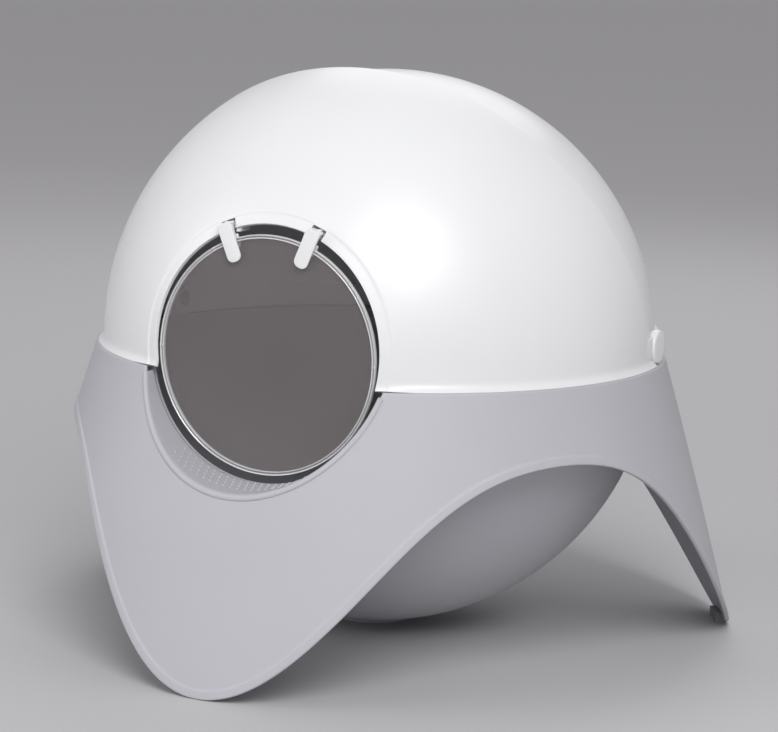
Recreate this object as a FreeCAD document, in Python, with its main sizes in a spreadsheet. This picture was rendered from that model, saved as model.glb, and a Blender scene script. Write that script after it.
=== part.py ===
"""Hooded cat litter box on a three-legged skirt.

A round litter bowl hangs by its flange inside a skirt with three petal legs.  A fixed
rear hood and a front visor cover it.  The visor turns on two side pins, and a round
clear door swings in its entry on two clips.

Millimetres, +Z up, the floor at Z = 0, the bowl's axis on the Z axis, the entry at -Y.
"""
import FreeCAD, Part
import math
import os

import Sketcher
from FreeCAD import Placement, Rotation, Vector

# ---------------------------------------------------------------- driving dimensions
DIMENSIONS = [
    ("wall", 3.0),                  # moulded wall thickness of the shells
    ("bowl_radius", 247.0),         # outside of the spherical bowl
    ("bowl_height", 250.0),         # centre of the bowl above the floor
    ("foot_radius", 55.0),          # flat foot under the bowl
    ("flange_radius", 253.5),       # bowl flange that rests on the skirt's shelf
    ("flange_drop", 1.0),           # its top below the top of the skirt
    ("flange_sheet", 2.5),
    ("rim_height", 253.0),          # top of the skirt
    ("rim_radius", 257.5),          # outside of the skirt at its top
    ("skirt_radius", 330.0),        # outside of the skirt at the floor
    ("skirt_bulge", 1.3),           # how far the flared wall bows out of a straight cone
    ("hem_mean", 110.3),            # mean height of the wavy hem
    ("hem_wave", 95.5),             # height of its three waves
    ("hem_ripple", 14.8),           # second harmonic, which broadens the feet
    ("band_width", 8.0),            # raised band along the hem
    ("band_depth", 1.2),
    ("band_top", 215.0),            # higher than any part of that band
    ("band_root", 1.0),             # how deep the band is sunk in the wall
    ("shelf_drop", 3.5),            # shelf inside the skirt, below its top
    ("shelf_radius", 249.0),        # inner edge of the shelf
    ("pad_half_turn", 2.6),         # half of a foot pad's sweep about the axis, in degrees
    ("pad_height", 9.0),
    ("pad_depth", 8.0),
    ("pad_gap", 0.05),              # between a pad and the leg in front of it
    ("entry_height", 277.0),        # centre of the entry above the floor
    ("tunnel_radius", 112.5),       # entry tunnel through the skirt
    ("liner_wall", 2.4),
    ("liner_proud", 1.5),           # how far the tunnel stands out of the skirt
    ("liner_drop", 4.0),            # top of the tunnel's sides below the top of the skirt
    ("liner_low", 100.0),           # lower than any part of the tunnel
    ("mouth_gap", 0.2),             # between the tunnel and the skirt
    ("fit_gap", 0.5),               # between the bowl and what fits round it
    ("press_gap", 0.02),            # round a part that is pressed in place
    ("port_radius", 106.3),         # entry cut in the visor
    ("port_band", 10.0),            # inset band round that cut
    ("port_band_depth", 0.7),
    ("hood_gap", 0.6),              # between the visor and the top of the skirt
    ("visor_radius", 251.0),        # outside of the visor dome
    ("visor_height", 264.5),        # centre of the visor dome
    ("rear_radius", 244.5),         # outside of the rear hood dome
    ("rear_height", 257.7),
    ("rear_back", 9.0),             # how far its centre lies behind the axis
    ("parting_tilt", 22.3),         # degrees that the joint of the two hoods leans forward
    ("parting_back", 39.25),        # that joint behind the axis, at the bowl's centre height
    ("parting_lap", 8.0),           # rear hood tucked under the visor
    ("fin_sheet", 3.0),             # ridge that fills the step between the two hoods
    ("fin_gap", 0.8),               # between that ridge and the visor
    ("fin_room", 36.0),             # radius about the visor pivot without a ridge
    ("fin_low", 20.0),              # lower end of the ridge above the top of the skirt
    ("lip_radius", 256.0),          # flared lower lip of the visor
    ("lip_rise", 8.0),
    ("collar_radius", 255.6),       # upright collar at the foot of the rear hood
    ("collar_rise", 10.5),          # height of its straight part
    ("shoulder_radius", 246.5),     # where its rounded shoulder meets the dome
    ("shoulder_rise", 25.0),        # height of that place above the top of the skirt
    ("collar_start", 3.0),          # front end of the collar behind the joint of the hoods
    ("pivot_back", 44.0),           # visor pivot behind the axis
    ("pivot_height", 269.5),
    ("ear_radius", 15.0),           # round ear that carries the visor pivot
    ("ear_inside", 245.2),          # distance of its inner and outer face from the middle
    ("ear_outside", 252.5),
    ("ear_cap", 2.0),               # plastic outside the end of the pin
    ("ear_gap", 0.4),               # between the ear and the bush in the rear hood
    ("neck_depth", 5.2),            # neck that joins the ear to the visor
    ("neck_length", 34.0),
    ("neck_half", 10.0),
    ("pin_radius", 4.0),            # visor pin
    ("bush_radius", 8.0),
    ("bush_inside", 232.5),         # inner face of the bush from the middle
    ("flange_depth", 2.5),          # of the bush's flange
    ("head_step", 3.0),             # how much wider that flange and the pin's head are
    ("pin_inside", 229.0),          # inner face of the pin's head from the middle
    ("head_depth", 3.4),
    ("running_gap", 0.05),          # radial clearance on every pin
    ("door_height", 272.0),         # centre of the door disc
    ("door_radius", 102.0),         # outside of the door with its edge trim
    ("door_front", 223.5),          # middle plane of the door in front of the axis
    ("door_sheet", 2.4),
    ("trim_depth", 4.4),
    ("trim_width", 3.5),
    ("trim_lap", 1.5),              # how much of the trim lies outside the disc
    ("clip_angle", 22.3),           # degrees of each clip from the top of the entry
    ("clip_width", 13.0),
    ("clip_neck", 8.0),             # narrow part of a clip that turns in its notch
    ("notch_gap", 1.5),             # beside that neck
    ("notch_rise", 5.0),            # top of the notch above the clip pin
    ("strap_low", 78.0),            # front strap's lower end from the centre of the entry
    ("strap_high", 112.0),
    ("back_low", 88.0),             # back strap's lower end
    ("back_high", 100.5),
    ("tab_low", 100.0),             # narrow tab from the back strap to the bridge
    ("tab_high", 105.0),
    ("bridge_low", 104.2),
    ("bridge_high", 110.0),
    ("eye_radius", 4.0),
    ("clip_sheet", 2.2),
    ("clip_pin_radius", 1.5),
    ("clip_pin_reach", 108.5),      # clip pin from the centre of the entry
    ("clip_pin_front", 218.0),      # clip pin in front of the axis
    ("clip_pin_half", 11.0),        # half of that pin's length
]

doc = FreeCAD.newDocument("litter_box")
sheet = doc.addObject("Spreadsheet::Sheet", "dimensions")
for row, (name, value) in enumerate(DIMENSIONS, start=1):
    sheet.set("A%d" % row, name)
    sheet.set("B%d" % row, str(value))
    sheet.setAlias("B%d" % row, name)
doc.recompute()

SUBPARTS = []
FAR = 900.0                         # size of the blocks that stand for half spaces
OVER = 1.0                          # how far a cutting tool runs past what it cuts
X_AXIS = Vector(1, 0, 0)
Y_AXIS = Vector(0, 1, 0)
Z_AXIS = Vector(0, 0, 1)


# ---------------------------------------------------------------- helpers
def size(name):
    """The value of one driving dimension."""
    return float(getattr(sheet, name))


def bind(feature, **expressions):
    """Tie a feature's properties to cells; the word after a dot is a sheet alias."""
    for prop, expression in expressions.items():
        feature.setExpression(prop, expression.replace("@", "dimensions."))
    return feature


def ball(name, radius, centre):
    return placed(bind(doc.addObject("Part::Sphere", name), Radius=radius), centre)


def placed(feature, at, rotation=Rotation()):
    feature.Placement = Placement(at, rotation)
    return feature


def rod(name, radius, length, start, axis):
    """A cylinder from a start point along an axis."""
    feature = bind(doc.addObject("Part::Cylinder", name), Radius=radius, Height=length)
    return placed(feature, start, Rotation(Z_AXIS, axis))


def block(name, width, depth, height, corner, rotation=Rotation()):
    """A box with its lowest corner at a point, turned about that point."""
    feature = bind(doc.addObject("Part::Box", name), Length=width, Width=depth, Height=height)
    return placed(feature, corner, rotation)


def cut(name, base, tool):
    feature = doc.addObject("Part::Cut", name)
    feature.Base = base
    feature.Tool = tool
    return feature


def fuse(name, *pieces):
    feature = doc.addObject("Part::MultiFuse", name)
    feature.Shapes = list(pieces)
    return feature


def common(name, *pieces):
    feature = doc.addObject("Part::MultiCommon", name)
    feature.Shapes = list(pieces)
    return feature


def fixed_shape(name, shape):
    """A shape that no primitive or sketch gives, such as one with a wavy edge."""
    feature = doc.addObject("Part::Feature", name)
    feature.Shape = shape
    feature.Placement = Placement()
    return feature


def subpart(feature, label):
    feature.Label = label
    SUBPARTS.append(feature)
    return feature


def origin_plane(body, role):
    return next(plane for plane in body.Origin.OriginFeatures if plane.Role == role)


def turned_body(name, outline, sweep=360.0):
    """A PartDesign body turned about its sketch's vertical axis from a closed outline.

    The outline is a list of segments: two points for a line, three for an arc.
    """
    body = doc.addObject("PartDesign::Body", name)
    sketch = body.newObject("Sketcher::SketchObject", name + "_profile")
    sketch.AttachmentSupport = [(origin_plane(body, "XZ_Plane"), "")]
    sketch.MapMode = "FlatFace"
    for points in outline:
        ends = [Vector(x, y, 0) for x, y in points]
        if len(ends) == 2:
            sketch.addGeometry(Part.LineSegment(*ends), False)
        else:
            sketch.addGeometry(Part.Arc(*ends), False)
    for number in range(len(outline)):
        following = (number + 1) % len(outline)
        join_ends(sketch, number, following)
    turn = body.newObject("PartDesign::Revolution", name + "_turned")
    turn.Profile = sketch
    turn.ReferenceAxis = (sketch, ["V_Axis"])
    turn.Angle = sweep
    sketch.Visibility = False
    return body


def join_ends(sketch, first, second):
    """Make two neighbouring segments share the end point where they meet."""
    for end in (1, 2):
        for start in (1, 2):
            gap = sketch.getPoint(first, end).distanceToPoint(sketch.getPoint(second, start))
            if gap < 1e-6:
                sketch.addConstraint(Sketcher.Constraint("Coincident", first, end, second, start))
                return


def sphere_point(radius, centre_height, height):
    """Point of a circle about the Z axis, at a height, as (distance, height)."""
    return (math.sqrt(radius ** 2 - (height - centre_height) ** 2), height)


# ---------------------------------------------------------------- shared geometry
wall = size("wall")
entry_centre = Vector(0, 0, size("entry_height"))
bowl_centre = Vector(0, 0, size("bowl_height"))
visor_centre = Vector(0, 0, size("visor_height"))
rear_centre = Vector(0, size("rear_back"), size("rear_height"))
pivot = Vector(0, size("pivot_back"), size("pivot_height"))
parting_turn = Rotation(X_AXIS, size("parting_tilt"))
parting_point = Vector(0, size("parting_back"), size("bowl_height"))


def wall_radius(height, proud=0.0):
    """Outside of the skirt's flared wall at a height."""
    top = size("rim_height")
    share = (top - height) / top
    straight = size("rim_radius") + (size("skirt_radius") - size("rim_radius")) * share
    return straight + 4 * size("skirt_bulge") * share * (1 - share) + proud


def hem_height(angle):
    """Height of the hem at an angle from the front, in radians."""
    wave = size("hem_wave") * math.cos(3 * angle)
    ripple = size("hem_ripple") * math.cos(6 * angle)
    return size("hem_mean") - wave - ripple


def hem_slope(angle):
    wave = 3 * size("hem_wave") * math.sin(3 * angle)
    ripple = 6 * size("hem_ripple") * math.sin(6 * angle)
    return wave + ripple


def hem_point(angle, radius, offset):
    """Point of the hem moved square to it, up the wall, and set out at a radius."""
    run = wall_radius(hem_height(angle))
    steep = hem_slope(angle)
    length = math.hypot(run, steep)
    turned = angle - offset * steep / length / run
    height = hem_height(angle) + offset * run / length
    return Vector(radius * math.sin(turned), -radius * math.cos(turned), height)


def hem_solid(offset, towards):
    """Everything above (+1) or below (-1) the hem, moved up the wall by an offset."""
    steps = 72
    well_inside = size("bowl_radius") - 97.0
    well_outside = size("skirt_radius") + 90.0
    rings = []
    for radius in (well_inside, well_outside):
        points = [hem_point(2 * math.pi * i / steps, radius, offset) for i in range(steps)]
        curve = Part.BSplineCurve()
        curve.interpolate(points, PeriodicFlag=True)
        rings.append(curve.toShape())
    surface = Part.makeRuledSurface(rings[0], rings[1])
    return surface.extrude(Vector(0, 0, towards * FAR))


def parting_side(name, start, depth):
    """A slab along the hood joint, from a distance behind it and so many mm deep."""
    corner = parting_turn.multVec(Vector(-FAR / 2, start, -FAR / 2)) + parting_point
    return block(name, str(FAR), str(depth), str(FAR), corner, parting_turn)


def above(name, height):
    """Everything higher than a height."""
    return block(name, str(FAR), str(FAR), str(FAR), Vector(-FAR / 2, -FAR / 2, height))


# ---------------------------------------------------------------- litter bowl
def make_bowl():
    inner = size("bowl_radius") - wall
    flange = size("flange_radius")
    flange_top = size("rim_height") - size("flange_drop")
    flange_bottom = flange_top - size("flange_sheet")
    outer_start = sphere_point(size("bowl_radius"), size("bowl_height"), flange_bottom)
    inner_top = sphere_point(inner, size("bowl_height"), flange_top)
    foot_edge = sphere_edge(size("bowl_radius"), size("bowl_height"), size("foot_radius"))
    diagonal = math.sqrt(0.5)
    outer = size("bowl_radius")
    middle_outer = (outer * diagonal, size("bowl_height") - outer * diagonal)
    middle_inner = (inner * diagonal, size("bowl_height") - inner * diagonal)
    foot_inner = sphere_edge(inner, size("bowl_height"), size("foot_radius") - wall)
    outline = [
        ((0, 0), (size("foot_radius"), 0)),
        ((size("foot_radius"), 0), foot_edge),
        (foot_edge, middle_outer, outer_start),
        (outer_start, (flange, flange_bottom)),
        ((flange, flange_bottom), (flange, flange_top)),
        ((flange, flange_top), inner_top),
        (inner_top, middle_inner, foot_inner),
        (foot_inner, (0, foot_inner[1])),
        ((0, foot_inner[1]), (0, 0)),
    ]
    turned = turned_body("bowl_turned", outline)
    doorway = entry_rod("bowl_doorway", "@tunnel_radius + @fit_gap")
    return subpart(cut("bowl_open", turned, doorway), "litter_bowl")


def sphere_edge(radius, centre_height, distance):
    """Lower point of a circle about the Z axis, at a distance from it."""
    return (distance, centre_height - math.sqrt(radius ** 2 - distance ** 2))


def entry_rod(name, radius):
    """The cat's way in: a level cylinder from well in front to near the middle."""
    reach = 400.0
    near_end = -100.0
    start = Vector(0, near_end - reach, size("entry_height"))
    return rod(name, radius, str(reach), start, Y_AXIS)


# ---------------------------------------------------------------- skirt with three legs
def wall_arc(low, high, proud):
    """Arc of the flared wall between two heights, as three (radius, height) points."""
    middle = (low + high) / 2
    return tuple((wall_radius(level, proud), level) for level in (low, middle, high))


def make_skirt():
    top = size("rim_height")
    shelf_top = top - size("shelf_drop")
    shelf_bottom = shelf_top - wall
    outer = wall_arc(0.0, top, 0.0)
    inner = wall_arc(0.0, shelf_bottom, -wall)
    rim_inside = size("rim_radius") - wall
    shelf_edge = size("shelf_radius")
    inside_shelf = (wall_radius(shelf_top, -wall), shelf_top)
    outline = [
        outer,
        (outer[2], (rim_inside, top)),
        ((rim_inside, top), inside_shelf),
        (inside_shelf, (shelf_edge, shelf_top)),
        ((shelf_edge, shelf_top), (shelf_edge, shelf_bottom)),
        ((shelf_edge, shelf_bottom), inner[2]),
        (inner[2], inner[1], inner[0]),
        (inner[0], outer[0]),
    ]
    turned = turned_body("skirt_turned", outline)
    band_top = size("band_top")
    face = wall_arc(0.0, band_top, size("band_depth"))
    back = wall_arc(0.0, band_top, -size("band_root"))
    band_outline = [
        face,
        (face[2], back[2]),
        (back[2], back[1], back[0]),
        (back[0], face[0]),
    ]
    band_ring = turned_body("band_turned", band_outline)
    over = fixed_shape("above_band", hem_solid(size("band_width"), 1))
    under = fixed_shape("below_hem", hem_solid(0.0, -1))
    band = cut("hem_band", band_ring, over)
    mouth = entry_rod("skirt_mouth", "@tunnel_radius + @liner_wall + @mouth_gap")
    whole = fuse("skirt_with_band", turned, band)
    hemmed = cut("skirt_hemmed", whole, under)
    return subpart(cut("skirt_open", hemmed, mouth), "skirt_base")


def make_entry_liner():
    """Tunnel floor from the skirt's face back to the bowl, under the door."""
    tube = cut(
        "liner_tube",
        entry_rod("liner_outside", "@tunnel_radius + @liner_wall"),
        entry_rod("liner_inside", "@tunnel_radius"),
    )
    top = size("rim_height") - size("liner_drop")
    low = size("liner_low")
    face = wall_arc(low, top, size("liner_proud"))
    core = turned_body("liner_limit", [
        face,
        (face[2], (0, top)),
        ((0, top), (0, low)),
        ((0, low), face[0]),
    ])
    kept = common("liner_kept", tube, core)
    bowl_room = ball("liner_bowl_room", "@bowl_radius + @fit_gap", bowl_centre)
    below_shelf = 20.0
    shelf_start = Vector(0, 0, top - below_shelf)
    shelf_room = rod("liner_shelf_room", "@shelf_radius + 1", str(3 * below_shelf), shelf_start, Z_AXIS)
    cleared = cut("liner_cleared", kept, bowl_room)
    return subpart(cut("liner_open", cleared, shelf_room), "entry_liner")


def make_foot_pads():
    """A rubber pad behind the tip of each leg, flush with the floor."""
    half_turn = size("pad_half_turn")
    names = ("foot_pad_front", "foot_pad_right", "foot_pad_left")
    for number, label in enumerate(names):
        height = size("pad_height")
        outer = wall_arc(0.0, height, -wall - size("pad_gap"))
        inner = wall_radius(0.0, -wall) - size("pad_depth")
        ring = turned_body(label + "_turned", [
            outer,
            (outer[2], (inner, height)),
            ((inner, height), (inner, 0.0)),
            ((inner, 0.0), outer[0]),
        ], 2 * half_turn)
        ring.Placement = Placement(Vector(), Rotation(Z_AXIS, -90 - half_turn + 120 * number))
        subpart(ring, label)


# ---------------------------------------------------------------- hoods
def flared_lip(name, bottom, hollow):
    """The ring at the foot of a hood, wider at the bottom, around its hollow."""
    ring = bind(
        doc.addObject("Part::Cone", name + "_cone"),
        Radius1="@lip_radius",
        Radius2="@visor_radius",
        Height="@lip_rise",
    )
    placed(ring, Vector(0, 0, bottom))
    return cut(name, ring, hollow)


def make_visor():
    bottom = size("rim_height") + size("hood_gap")
    inside = ball("visor_inside", "@visor_radius - @wall", visor_centre)
    dome = cut("visor_dome", ball("visor_outside", "@visor_radius", visor_centre), inside)
    upper = common("visor_upper", dome, above("visor_above", bottom))
    whole = fuse("visor_and_lip", upper, flared_lip("visor_lip", bottom, inside))
    front = common("visor_front", whole, parting_side("visor_side", -FAR, FAR))
    eared = fuse("visor_eared", front, *[piece for side in (-1, 1) for piece in ear(side)])
    band = common(
        "port_band_skin",
        entry_rod("port_band_rod", "@port_radius + @port_band"),
        cut(
            "port_band_shell",
            ball("port_band_far", "@visor_radius + @lip_rise", visor_centre),
            ball("port_band_near", "@visor_radius - @port_band_depth", visor_centre),
        ),
    )
    port = entry_rod("port_rod", "@port_radius")
    bores = [ear_bore(side) for side in (-1, 1)]
    notches = [clip_notch(side) for side in (-1, 1)]
    pin_room = "@clip_pin_radius + @press_gap"
    pins = [clip_pin_rod("notch_pin%d" % side, side, pin_room, OVER) for side in (1, -1)]
    tools = fuse("visor_cuts", band, port, *(bores + notches + pins))
    return subpart(cut("visor_open", eared, tools), "hood_front")


def ear(side):
    """Round ear outside the rear hood, and the neck that joins it to the visor."""
    start = Vector(side * size("ear_inside"), pivot.y, pivot.z)
    outward = Vector(side, 0, 0)
    tag = "right" if side > 0 else "left"
    boss = rod("ear_boss_" + tag, "@ear_radius", "@ear_outside - @ear_inside", start, outward)
    corner_x = size("ear_inside") if side > 0 else -size("ear_inside") - size("neck_depth")
    corner = Vector(corner_x, pivot.y - size("neck_length"), pivot.z - size("neck_half"))
    neck = block("ear_neck_" + tag, "@neck_depth", "@neck_length", "2 * @neck_half", corner)
    return boss, neck


def ear_bore(side):
    start = Vector(side * (size("ear_inside") - OVER), pivot.y, pivot.z)
    depth = str(size("ear_outside") - size("ear_cap") - size("ear_inside") + OVER)
    name = "ear_bore_right" if side > 0 else "ear_bore_left"
    return rod(name, "@pin_radius + @running_gap", depth, start, Vector(side, 0, 0))


def make_rear_hood():
    bottom = size("rim_height")
    inside = ball("rear_inside", "@rear_radius - @wall", rear_centre)
    dome = cut("rear_dome", ball("rear_outside", "@rear_radius", rear_centre), inside)
    upper = common("rear_upper", dome, above("rear_above", bottom))
    covered = common("rear_covered", upper, parting_side("rear_side", -size("parting_lap"), FAR))
    ring = cut("collar_hollow", collar_ring(), inside)
    collar = common("rear_collar", ring, parting_side("collar_side", size("collar_start"), FAR))
    fin = common(
        "rear_fin",
        cut(
            "fin_shell",
            ball("fin_outside", "@visor_radius - @wall - @fin_gap", visor_centre),
            ball("fin_inside", "@rear_radius - 1", rear_centre),
        ),
        parting_side("fin_slab", -size("parting_lap"), size("fin_sheet")),
    )
    hinge_room = rod("fin_room", "@fin_room", str(FAR), Vector(-FAR / 2, pivot.y, pivot.z), X_AXIS)
    upper_side = above("fin_above", bottom + size("fin_low"))
    fin_high = common("fin_high", cut("fin_clear", fin, hinge_room), upper_side)
    whole = fuse("rear_whole", covered, collar, fin_high)
    tools = [piece for side in (-1, 1) for piece in rear_hinge_room(side)]
    return subpart(cut("rear_open", whole, fuse("rear_cuts", *tools)), "hood_rear")


def collar_ring():
    """Upright foot with a rounded shoulder, filled in as far as the dome."""
    bottom = size("rim_height")
    shoulder = bottom + size("collar_rise")
    top = bottom + size("shoulder_rise")
    outside = size("collar_radius")
    width = outside - size("shoulder_radius")
    inside = size("rear_radius") - size("wall") - OVER
    diagonal = math.sqrt(0.5)
    bend = (outside, shoulder)
    middle = (outside - width * (1 - diagonal), shoulder + (top - shoulder) * diagonal)
    end = (outside - width, top)
    return turned_body("collar_turned", [
        ((outside, bottom), bend),
        (bend, middle, end),
        (end, (inside, top)),
        ((inside, top), (inside, bottom)),
        ((inside, bottom), (outside, bottom)),
    ])


def rear_hinge_room(side):
    """Room for the visor's ear, and the hole for the pin's bush."""
    tag = "right" if side > 0 else "left"
    outward = Vector(side, 0, 0)
    ear_start = Vector(side * (size("ear_inside") - OVER / 2), pivot.y, pivot.z)
    ear_room = rod("ear_room_" + tag, "@ear_radius + 2", "2 * @ear_radius", ear_start, outward)
    hole_start = Vector(side * (size("pin_inside") - OVER), pivot.y, pivot.z)
    hole = rod("bush_hole_" + tag, "@bush_radius", "2 * @ear_radius", hole_start, outward)
    return ear_room, hole


def make_visor_hinge(side):
    """Bush in the rear hood's wall and the pin that carries the visor's ear."""
    tag = "right" if side > 0 else "left"
    outward = Vector(side, 0, 0)

    def rod_from(name, radius, start, end):
        first = Vector(side * start, pivot.y, pivot.z)
        return rod(name + "_" + tag, radius, str(end - start), first, outward)

    bush_start = size("bush_inside")
    bush_end = size("ear_inside") - size("ear_gap")
    head_start = size("pin_inside")
    head_end = head_start + size("head_depth")
    sleeve = fuse(
        "bush_body_" + tag,
        rod_from("bush_sleeve", "@bush_radius", bush_start, bush_end),
        rod_from("bush_flange", "@bush_radius + @head_step", bush_start, bush_start + size("flange_depth")),
    )
    bore = rod_from("bush_bore", "@pin_radius + @running_gap", bush_start - OVER, bush_end + OVER)
    subpart(cut("bush_" + tag, sleeve, bore), "hinge_bush_" + tag)
    pin = fuse(
        "pin_" + tag,
        rod_from("pin_shank", "@pin_radius", head_start + OVER, size("ear_outside") - size("ear_cap")),
        rod_from("pin_head", "@pin_radius + @head_step", head_start, head_end),
    )
    subpart(pin, "hinge_pin_" + tag)


# ---------------------------------------------------------------- door and its clips
def clip_turn(side):
    """Turn about Y that leans a clip from upright to its place beside the top."""
    return Rotation(Y_AXIS, side * size("clip_angle"))


def clip_point(side, across, front, reach):
    """Point given across a clip, in front of the axis, and out from the entry's centre."""
    return entry_centre + clip_turn(side).multVec(Vector(across, -front, reach))


def clip_block(name, side, width, front, back, low, high):
    """A block of a clip between two depths and two distances from the entry's centre."""
    corner = clip_point(side, -width / 2, front, low)
    return block(name, str(width), str(front - back), str(high - low), corner, clip_turn(side))


def clip_pin_centre(side):
    return clip_point(side, 0, size("clip_pin_front"), size("clip_pin_reach"))


def clip_pin_rod(name, side, radius, longer=0.0):
    """The clip's pin, or a tool round it that is longer at each end."""
    half = size("clip_pin_half") + longer
    start = clip_pin_centre(side) - Vector(half, 0, 0)
    return rod(name, radius, str(2 * half), start, X_AXIS)


def clip_notch(side):
    """Slot in the visor's edge, in which the clip hangs and turns."""
    width = size("clip_neck") + 2 * size("notch_gap")
    top = size("clip_pin_reach") + size("notch_rise")
    low = size("port_radius") - 6 * OVER
    front = size("visor_radius")
    back = size("clip_pin_front") - 28.0
    name = "clip_notch_right" if side > 0 else "clip_notch_left"
    return clip_block(name, side, width, front, back, low, top)


def make_clip(side):
    tag = "right" if side > 0 else "left"
    width = size("clip_width")
    sheet_depth = size("clip_sheet")
    gap_front = size("door_front") + size("trim_depth") / 2
    gap_back = size("door_front") - size("trim_depth") / 2
    front_face = gap_front + sheet_depth
    pieces = []
    straps = (
        ("front", front_face, size("strap_low"), size("strap_high")),
        ("back", gap_back, size("back_low"), size("back_high")),
    )
    for name, face, low, high in straps:
        round_low = low + width / 2
        strap = clip_block(name + "_strap_" + tag, side, width, face, face - sheet_depth,
                           round_low, high)
        end = rod(name + "_round_" + tag, "@clip_width / 2", str(sheet_depth),
                  clip_point(side, 0, face, round_low), Y_AXIS)
        pieces += [strap, end]
    neck = size("clip_neck")
    pieces.append(clip_block("back_neck_" + tag, side, neck, gap_back, gap_back - sheet_depth,
                             size("tab_low"), size("tab_high")))
    bridge_back = size("clip_pin_front") - 1.0
    pieces.append(clip_block("bridge_" + tag, side, neck, front_face, bridge_back,
                             size("bridge_low"), size("bridge_high")))
    eye_start = clip_pin_centre(side) - Vector(neck / 2, 0, 0)
    pieces.append(rod("eye_" + tag, "@eye_radius", "@clip_neck", eye_start, X_AXIS))
    bore = clip_pin_rod("eye_bore_" + tag, side, "@clip_pin_radius + @running_gap", OVER)
    whole = fuse("clip_whole_" + tag, *pieces)
    subpart(cut("clip_" + tag, whole, bore), "door_clip_" + tag)
    subpart(clip_pin_rod("clip_pin_rod_" + tag, side, "@clip_pin_radius"), "clip_pin_" + tag)


def make_bracket(side):
    """Bracket behind the visor's wall: two cheeks that hold the clip pin, and a back."""
    tag = "right" if side > 0 else "left"
    centre = clip_pin_centre(side)
    half_gap = 7.5
    cheek = 4.0
    low = -3.5
    high = 12.5
    front = 6.0
    back = 14.0
    plate = 2.5
    outer = Vector(centre.x - half_gap - cheek, centre.y - front, centre.z + low)
    full = block("bracket_full_" + tag, str(2 * (half_gap + cheek)), str(front + back),
                 str(high - low), outer)
    hollow_corner = Vector(centre.x - half_gap, centre.y - front - OVER, centre.z + low - OVER)
    hollow = block("bracket_hollow_" + tag, str(2 * half_gap), str(front + OVER + back - plate),
                   str(high - low - plate + OVER), hollow_corner)
    fitted = common(
        "bracket_fitted_" + tag,
        cut("bracket_u_" + tag, full, hollow),
        ball("bracket_limit_" + tag, "@visor_radius - @wall - @press_gap", visor_centre),
    )
    groove = clip_pin_rod("bracket_groove_" + tag, side, "@clip_pin_radius + @press_gap", 0.2)
    subpart(cut("bracket_" + tag, fitted, groove), "clip_bracket_" + tag)


def make_door():
    """Clear disc in a grooved edge trim."""
    centre_height = size("door_height")

    def disc(name, radius, thickness):
        start = Vector(0, -size("door_front") - thickness / 2, centre_height)
        return rod(name, radius, str(thickness), start, Y_AXIS)

    groove_width = size("door_sheet") + 2 * size("press_gap")
    subpart(disc("disc_sheet", "@door_radius - @trim_lap", size("door_sheet")), "door_disc")
    ring = cut(
        "trim_ring",
        disc("trim_outside", "@door_radius", size("trim_depth")),
        disc("trim_inside", "@door_radius - @trim_width", size("trim_depth") + 2 * OVER),
    )
    groove = disc("trim_groove", "@door_radius - @trim_lap + @press_gap", groove_width)
    subpart(cut("trim", ring, groove), "door_edge_trim")


# ---------------------------------------------------------------- the whole object
make_bowl()
make_skirt()
make_entry_liner()
make_foot_pads()
make_visor()
make_rear_hood()
for hinge_side in (-1, 1):
    make_visor_hinge(hinge_side)
    make_clip(hinge_side)
    make_bracket(hinge_side)
make_door()

doc.recompute()
failed = [item.Name for item in doc.Objects if "Invalid" in item.State or "Error" in item.State]
if failed:
    raise RuntimeError("features that failed: " + ", ".join(failed))
for part in SUBPARTS:
    if part.Shape.isNull() or not part.Shape.isValid():
        raise RuntimeError("bad shape: " + part.Label)

os.makedirs("parts", exist_ok=True)
for part in SUBPARTS:
    part.Shape.exportStep("parts/" + part.Label + ".step")
    box = part.Shape.BoundBox
    print("%-20s solids %d volume %9.0f  x %.1f %.1f y %.1f %.1f z %.1f %.1f" % (
        part.Label, len(part.Shape.Solids), part.Shape.Volume,
        box.XMin, box.XMax, box.YMin, box.YMax, box.ZMin, box.ZMax))
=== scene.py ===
"""Looks of the hooded cat litter box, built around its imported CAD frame.

Metres, +Z up, the floor at Z = 0, the bowl's axis on the Z axis, the entry at -Y.
"""
import math

import bmesh
import bpy
from mathutils import Matrix, Vector


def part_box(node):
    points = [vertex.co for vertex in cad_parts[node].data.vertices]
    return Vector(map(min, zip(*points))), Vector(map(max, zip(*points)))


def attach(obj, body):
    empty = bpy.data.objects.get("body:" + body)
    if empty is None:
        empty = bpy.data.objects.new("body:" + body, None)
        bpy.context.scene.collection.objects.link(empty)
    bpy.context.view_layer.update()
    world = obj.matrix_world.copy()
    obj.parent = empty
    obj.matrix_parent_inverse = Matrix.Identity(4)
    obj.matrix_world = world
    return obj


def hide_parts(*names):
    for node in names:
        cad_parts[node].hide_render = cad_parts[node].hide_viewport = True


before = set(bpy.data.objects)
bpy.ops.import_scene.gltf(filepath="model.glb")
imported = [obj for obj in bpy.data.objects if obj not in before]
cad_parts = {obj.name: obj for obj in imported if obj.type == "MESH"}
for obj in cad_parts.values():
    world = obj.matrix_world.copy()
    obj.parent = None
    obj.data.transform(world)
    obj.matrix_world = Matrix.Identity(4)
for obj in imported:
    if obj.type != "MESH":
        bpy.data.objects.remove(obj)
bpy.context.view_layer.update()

# ---------------------------------------------------------------- sizes of the design
MM = 0.001
WALL = 3 * MM

BOWL_RADIUS = 247 * MM
BOWL_HEIGHT = 250 * MM
BOWL_FOOT = 34 * MM
BOWL_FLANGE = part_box("litter_bowl")[1].x
BOWL_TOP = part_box("litter_bowl")[1].z

RIM_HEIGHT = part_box("skirt_base")[1].z
RIM_RADIUS = 257.5 * MM
SKIRT_RADIUS = 330 * MM
SKIRT_BULGE = 1.3 * MM
HEM_MEAN = 110.3 * MM
HEM_WAVE = 95.5 * MM
HEM_RIPPLE = 14.8 * MM

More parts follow.
